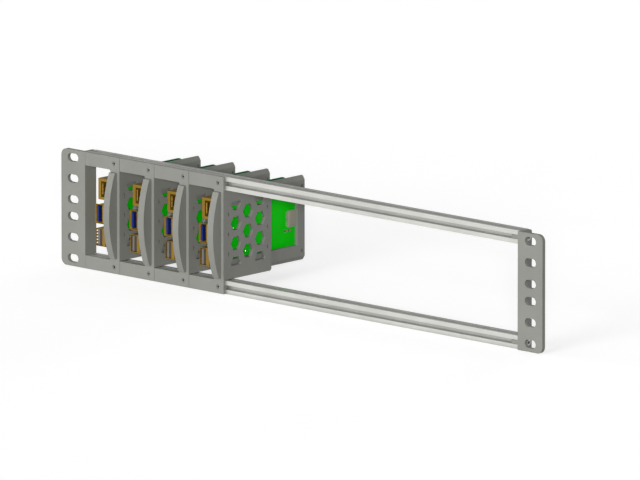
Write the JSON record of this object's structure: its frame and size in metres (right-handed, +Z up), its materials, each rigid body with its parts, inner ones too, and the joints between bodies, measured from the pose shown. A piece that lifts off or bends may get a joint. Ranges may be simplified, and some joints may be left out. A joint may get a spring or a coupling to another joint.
{
  "type": "single-board computer rack mount",
  "caption": "Low rack frame of T-slot rails between slotted ears, carrying upright board trays with bowed pull handles in bays with hexagon-vented side plates.",
  "frame": {"origin": "centre of the rack slots of both ears, on the ears' back face, which rests on the rack's uprights", "axes": "+X along the rails from the end with the modules to the free end, +Y backwards into the rack, +Z up"},
  "size_m": [0.4826, 0.0998, 0.0882],
  "materials": {
    "printed_grey": "satin, fine layer lines",
    "rail": "clear anodised",
    "screw_steel": "zinc plated",
    "screw_black": "dark oxide",
    "nut_steel": "zinc plated",
    "spacer_steel": "nickel plated",
    "board_green": "solder mask",
    "addon_green": "solder mask",
    "header_plastic": "satin, with gilt pins",
    "black_plastic": "satin",
    "jack_gold": "satin",
    "blue_plastic": "satin",
    "grey_plastic": "satin",
    "socket_steel": "bright",
    "card_slot_steel": "satin"
  },
  "bodies": {
    "root": {"audio_jacks": "black_plastic", "bay1_addon_board": "addon_green", "bay1_addon_socket": "black_plastic", "bay1_blue_port_insert": "blue_plastic", "bay1_blue_port_shell": "jack_gold", "bay1_card_slot": "card_slot_steel", "bay1_computer_board": "board_green", "bay1_frame": "printed_grey", "bay1_grey_port_insert": "grey_plastic", "bay1_grey_port_shell": "jack_gold", "bay1_network_jack": "jack_gold", "bay1_pin_header": "header_plastic", "bay1_tray": "printed_grey", "bay2_addon_board": "addon_green", "bay2_addon_socket": "black_plastic", "bay2_blue_port_insert": "blue_plastic", "bay2_blue_port_shell": "jack_gold", "bay2_card_slot": "card_slot_steel", "bay2_computer_board": "board_green", "bay2_frame": "printed_grey", "bay2_grey_port_insert": "grey_plastic", "bay2_grey_port_shell": "jack_gold", "bay2_network_jack": "jack_gold", "bay2_pin_header": "header_plastic", "bay2_tray": "printed_grey", "bay3_addon_board": "addon_green", "bay3_addon_socket": "black_plastic", "bay3_blue_port_insert": "blue_plastic", "bay3_blue_port_shell": "jack_gold", "bay3_card_slot": "card_slot_steel", "bay3_computer_board": "board_green", "bay3_frame": "printed_grey", "bay3_grey_port_insert": "grey_plastic", "bay3_grey_port_shell": "jack_gold", "bay3_network_jack": "jack_gold", "bay3_pin_header": "header_plastic", "bay3_tray": "printed_grey", "bay4_addon_board": "addon_green", "bay4_addon_socket": "black_plastic", "bay4_blue_port_insert": "blue_plastic", "bay4_blue_port_shell": "jack_gold", "bay4_card_slot": "card_slot_steel", "bay4_computer_board": "board_green", "bay4_frame": "printed_grey", "bay4_grey_port_insert": "grey_plastic", "bay4_grey_port_shell": "jack_gold", "bay4_network_jack": "jack_gold", "bay4_pin_header": "header_plastic", "bay4_tray": "printed_grey", "bay_set_screws": "screw_black", "board_screws": "screw_steel", "board_spacers": "spacer_steel", "bottom_rail": "rail", "left_ear": "printed_grey", "power_sockets": "socket_steel", "rail_end_screws": "screw_steel", "right_ear": "printed_grey", "slot_nuts": "nut_steel", "top_rail": "rail", "video_sockets": "socket_steel"}
  },
  "joints": []
}
